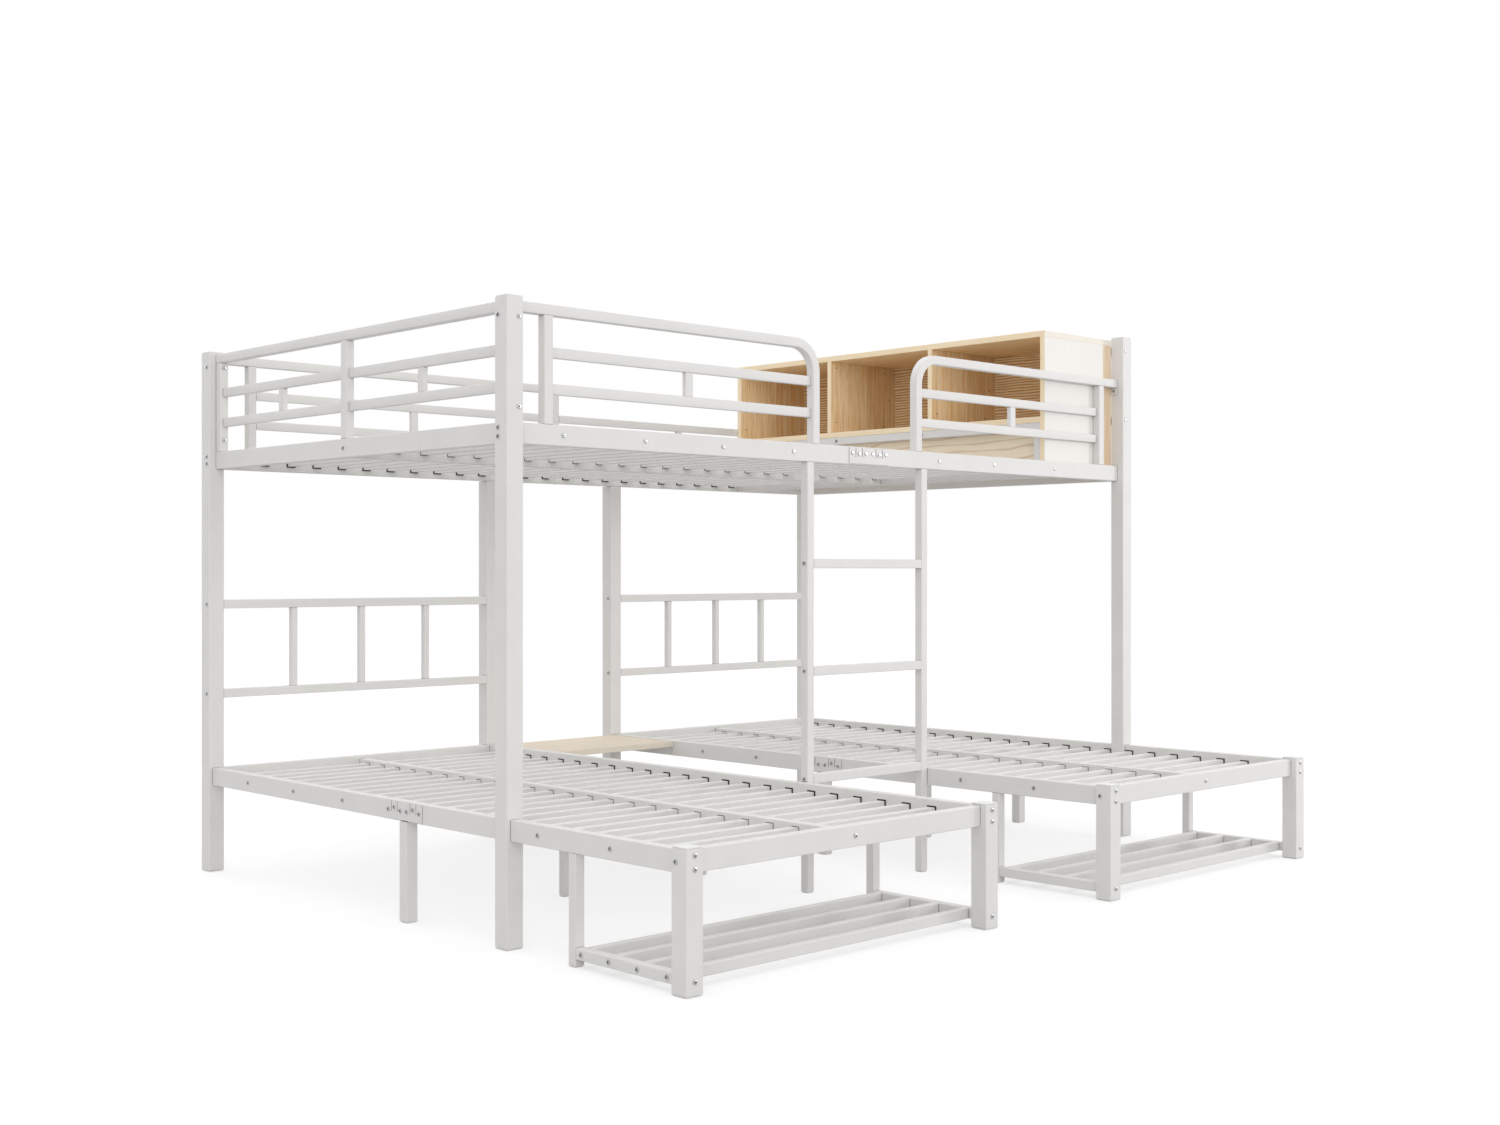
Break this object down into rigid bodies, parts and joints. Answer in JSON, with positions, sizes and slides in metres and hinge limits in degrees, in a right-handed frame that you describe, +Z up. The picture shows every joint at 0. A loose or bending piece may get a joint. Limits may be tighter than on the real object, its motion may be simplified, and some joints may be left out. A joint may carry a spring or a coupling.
{
  "type": "triple bunk bed",
  "caption": "Steel bunk bed with a wide upper bed, guard rails, a ladder and an oak bookcase over narrow lower beds with headboards, shoe racks and a shared table.",
  "frame": {"origin": "on the floor under the middle of the bed's bounding box", "axes": "+X along the upper bed towards its bookcase, +Y from the lower feet to the heads, +Z up"},
  "size_m": [2.48, 2.086, 1.612],
  "materials": {
    "white_steel": "satin powder coat",
    "oak_laminate": "light oak laminate",
    "black_plastic": "moulded",
    "white_plastic": "moulded",
    "bolt_steel": "zinc plated"
  },
  "bodies": {
    "root": {"back_guard_mid_bars": "white_steel", "back_guard_top_bar": "white_steel", "bookcase_back": "oak_laminate", "bookcase_bottom": "oak_laminate", "bookcase_dividers": "oak_laminate", "bookcase_ends": "oak_laminate", "bookcase_kickboard": "oak_laminate", "bookcase_support_bar": "white_steel", "bookcase_support_legs": "white_steel", "bookcase_top": "oak_laminate", "centre_beams": "white_steel", "foot_glides": "white_plastic", "foot_legs": "white_steel", "foot_rails": "white_steel", "frame_bolts": "bolt_steel", "front_guard_mid_bars": "white_steel", "front_left_guard_hoop": "white_steel", "front_right_guard_hoop": "white_steel", "guard_spacers": "white_steel", "guard_uprights": "white_steel", "head_rails": "white_steel", "headboard_bars": "white_steel", "headboard_uprights": "white_steel", "inner_posts": "white_steel", "ladder_rungs": "white_steel", "ladder_stiles": "white_steel", "left_bed_inner_front_rail": "white_steel", "left_bed_outer_foot_rail": "white_steel", "left_bed_outer_front_rail": "white_steel", "left_bed_rear_rails": "white_steel", "left_guard_mid_bars": "white_steel", "left_guard_top_bar": "white_steel", "lower_slats": "white_steel", "mid_legs": "white_steel", "post_back_left": "white_steel", "post_back_right": "white_steel", "post_caps": "white_plastic", "post_front_left": "white_steel", "post_front_right": "white_steel", "rack_legs": "white_steel", "rack_long_bars": "white_steel", "rack_side_bars": "white_steel", "right_bed_inner_front_rail": "white_steel", "right_bed_outer_foot_rail": "white_steel", "right_bed_outer_front_rail": "white_steel", "right_bed_rear_rails": "white_steel", "slat_bushes": "black_plastic", "splice_plates": "white_steel", "table_brackets": "white_steel", "table_shelf": "oak_laminate", "upper_back_rail_left": "white_steel", "upper_back_rail_right": "white_steel", "upper_centre_beam": "white_steel", "upper_cross_rail": "white_steel", "upper_end_bars": "white_steel", "upper_front_rail_left": "white_steel", "upper_front_rail_right": "white_steel", "upper_left_rail": "white_steel", "upper_right_rail": "white_steel", "upper_slats": "white_steel"}
  },
  "joints": []
}
